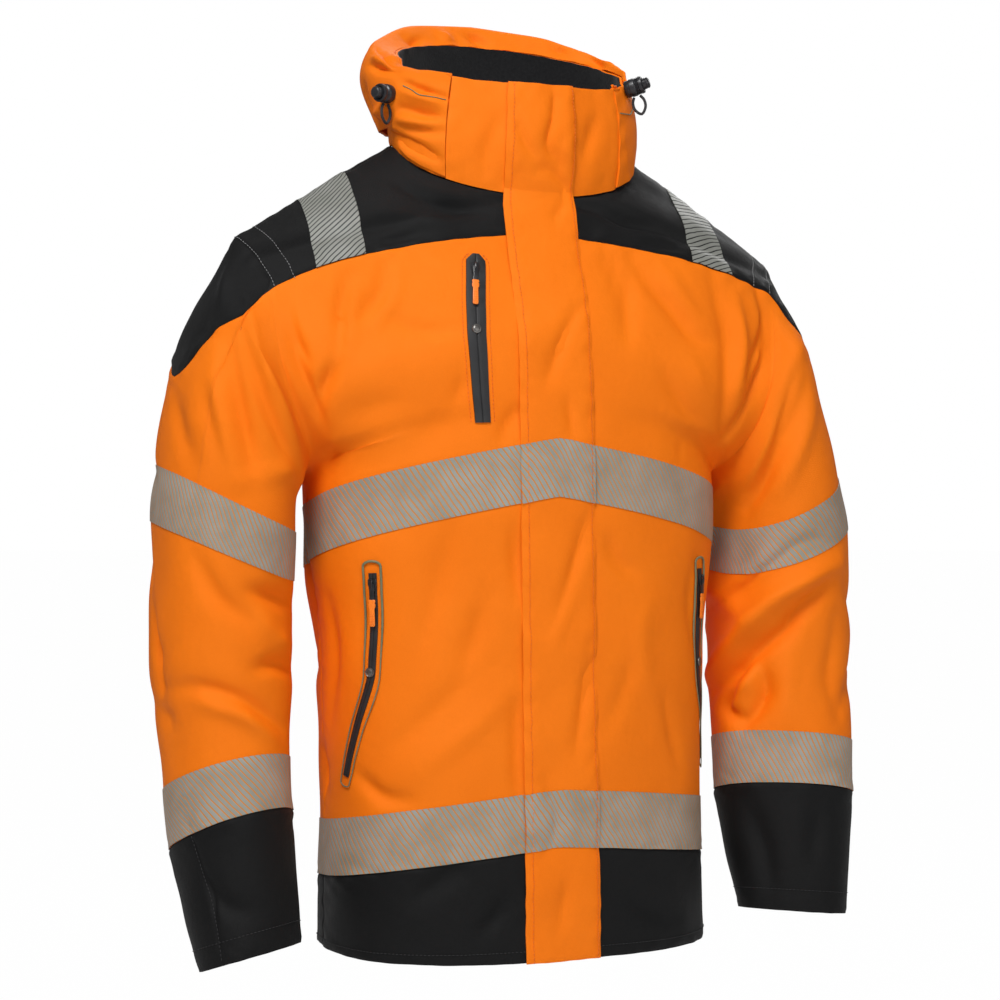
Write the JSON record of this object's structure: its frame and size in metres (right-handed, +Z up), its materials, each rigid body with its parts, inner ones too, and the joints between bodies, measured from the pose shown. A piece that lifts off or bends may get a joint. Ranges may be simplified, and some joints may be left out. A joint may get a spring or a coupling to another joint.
{
  "type": "hi-vis work jacket",
  "caption": "High-visibility hooded work jacket in its worn, hollow form: orange body, black yoke, cuffs and hem, segmented reflective tapes, storm flap, rolled hood and zipped pockets.",
  "frame": {"origin": "at the neck, midway between the two side-neck points on the shoulder line, where the wearer holds the jacket up", "axes": "+Z up along the wearer's height; the front faces -Y; +X is the wearer's left"},
  "size_m": [0.6829, 0.2604, 0.8644],
  "materials": {
    "orange_cloth": "matt plain-woven fluorescent orange shell cloth",
    "black_cloth": "matt plain-woven black shell cloth",
    "tape": "segmented grey retroreflective tape",
    "trim": "grey-green reflective piping",
    "orange_rubber": "matt orange moulded tab",
    "black_plastic": "black moulded plastic"
  },
  "bodies": {
    "jacket": {"back": "orange_cloth", "chest_snap_right": "black_plastic", "chest_tape_back": "tape", "chest_tape_flap": "tape", "chest_tape_left": "tape", "chest_tape_right": "tape", "chest_zip_right": "black_cloth", "chest_zip_right_slider": "black_plastic", "collar_back": "orange_cloth", "collar_front_left": "orange_cloth", "collar_front_right": "orange_cloth", "collar_lining": "black_cloth", "cord_lock_left": "black_plastic", "cord_lock_right": "black_plastic", "cord_loop_left": "black_cloth", "cord_loop_right": "black_cloth", "cuff_left": "black_cloth", "cuff_right": "black_cloth", "front_left": "orange_cloth", "front_right": "orange_cloth", "hand_piping_left": "trim", "hand_piping_right": "trim", "hand_snap_left": "black_plastic", "hand_snap_right": "black_plastic", "hand_zip_left": "black_cloth", "hand_zip_left_slider": "black_plastic", "hand_zip_right": "black_cloth", "hand_zip_right_slider": "black_plastic", "hem_back": "black_cloth", "hem_front_left": "black_cloth", "hem_front_right": "black_cloth", "hem_tape_back": "tape", "hem_tape_flap": "tape", "hem_tape_left": "tape", "hem_tape_right": "tape", "hood": "orange_cloth", "shoulder_tape_left": "tape", "shoulder_tape_right": "tape", "sleeve_head_left": "black_cloth", "sleeve_head_right": "black_cloth", "sleeve_left": "orange_cloth", "sleeve_right": "orange_cloth", "sleeve_tape_lower_left": "tape", "sleeve_tape_lower_right": "tape", "sleeve_tape_upper_left": "tape", "sleeve_tape_upper_right": "tape", "storm_flap": "orange_cloth", "yoke_back": "black_cloth", "yoke_front_left": "black_cloth", "yoke_front_right": "black_cloth"},
    "chest_pull": {"chest_zip_right_pull": "orange_rubber"},
    "hand_pull_left": {"hand_zip_left_pull": "orange_rubber"},
    "hand_pull_right": {"hand_zip_right_pull": "orange_rubber"},
    "plunger_left": {"cord_lock_plunger_left": "black_plastic"},
    "plunger_right": {"cord_lock_plunger_right": "black_plastic"}
  },
  "joints": [
    {"name": "chest_pull_swing", "type": "hinge", "parent": "jacket", "child": "chest_pull", "pos_m": [-0.06818, -0.07963, -0.11462], "axis": [-0.9907, 0.1053, 0.0867], "range_deg": [0, 100]},
    {"name": "hand_pull_left_swing", "type": "hinge", "parent": "jacket", "child": "hand_pull_left", "pos_m": [0.16031, -0.06977, -0.39221], "axis": [-0.7882, -0.6154, 0], "range_deg": [0, 100]},
    {"name": "hand_pull_right_swing", "type": "hinge", "parent": "jacket", "child": "hand_pull_right", "pos_m": [-0.16055, -0.06979, -0.39223], "axis": [-0.7771, 0.6294, 0], "range_deg": [0, 100]},
    {"name": "plunger_left_press", "type": "slide", "parent": "jacket", "child": "plunger_left", "axis": [-0.747, 0.6088, -0.2671], "range_m": [0, 0.0035], "stiffness_N_per_m": 300, "springref_m": -0.0015},
    {"name": "plunger_right_press", "type": "slide", "parent": "jacket", "child": "plunger_right", "axis": [0.8676, 0.4938, 0.0591], "range_m": [0, 0.0035], "stiffness_N_per_m": 300, "springref_m": -0.0015}
  ]
}
